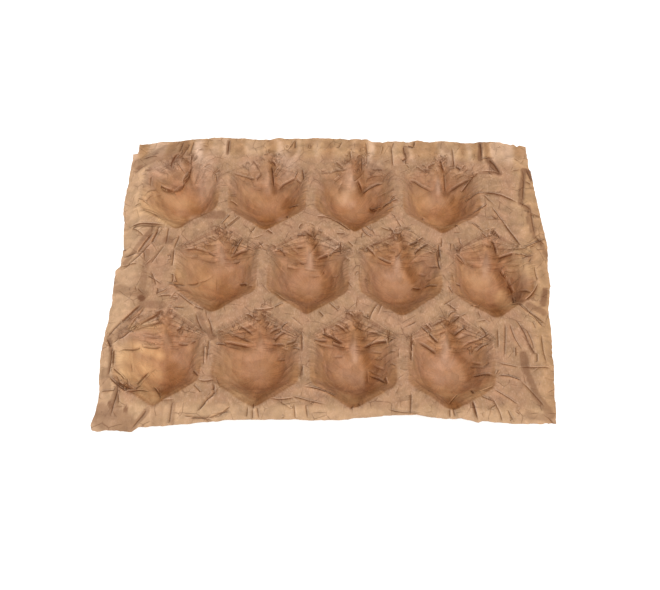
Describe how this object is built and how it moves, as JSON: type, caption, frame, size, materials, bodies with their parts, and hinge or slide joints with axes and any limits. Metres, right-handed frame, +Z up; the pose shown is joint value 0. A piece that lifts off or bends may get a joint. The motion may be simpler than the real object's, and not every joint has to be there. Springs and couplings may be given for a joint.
{
  "type": "apple tray",
  "caption": "Thin pressed paper tray of pleated hexagonal cups in shifted rows, with a crumpled, torn margin, for packing round fruit in a crate.",
  "frame": {"origin": "centre of the footprint, on the surface that the cups' floors stand on", "axes": "+X along the long side, +Y to the back edge, +Z up out of the cups"},
  "size_m": [0.401, 0.309, 0.0416],
  "materials": {
    "kraft_paper": "matte kraft paper"
  },
  "bodies": {
    "root": {"tray": "kraft_paper"}
  },
  "joints": []
}
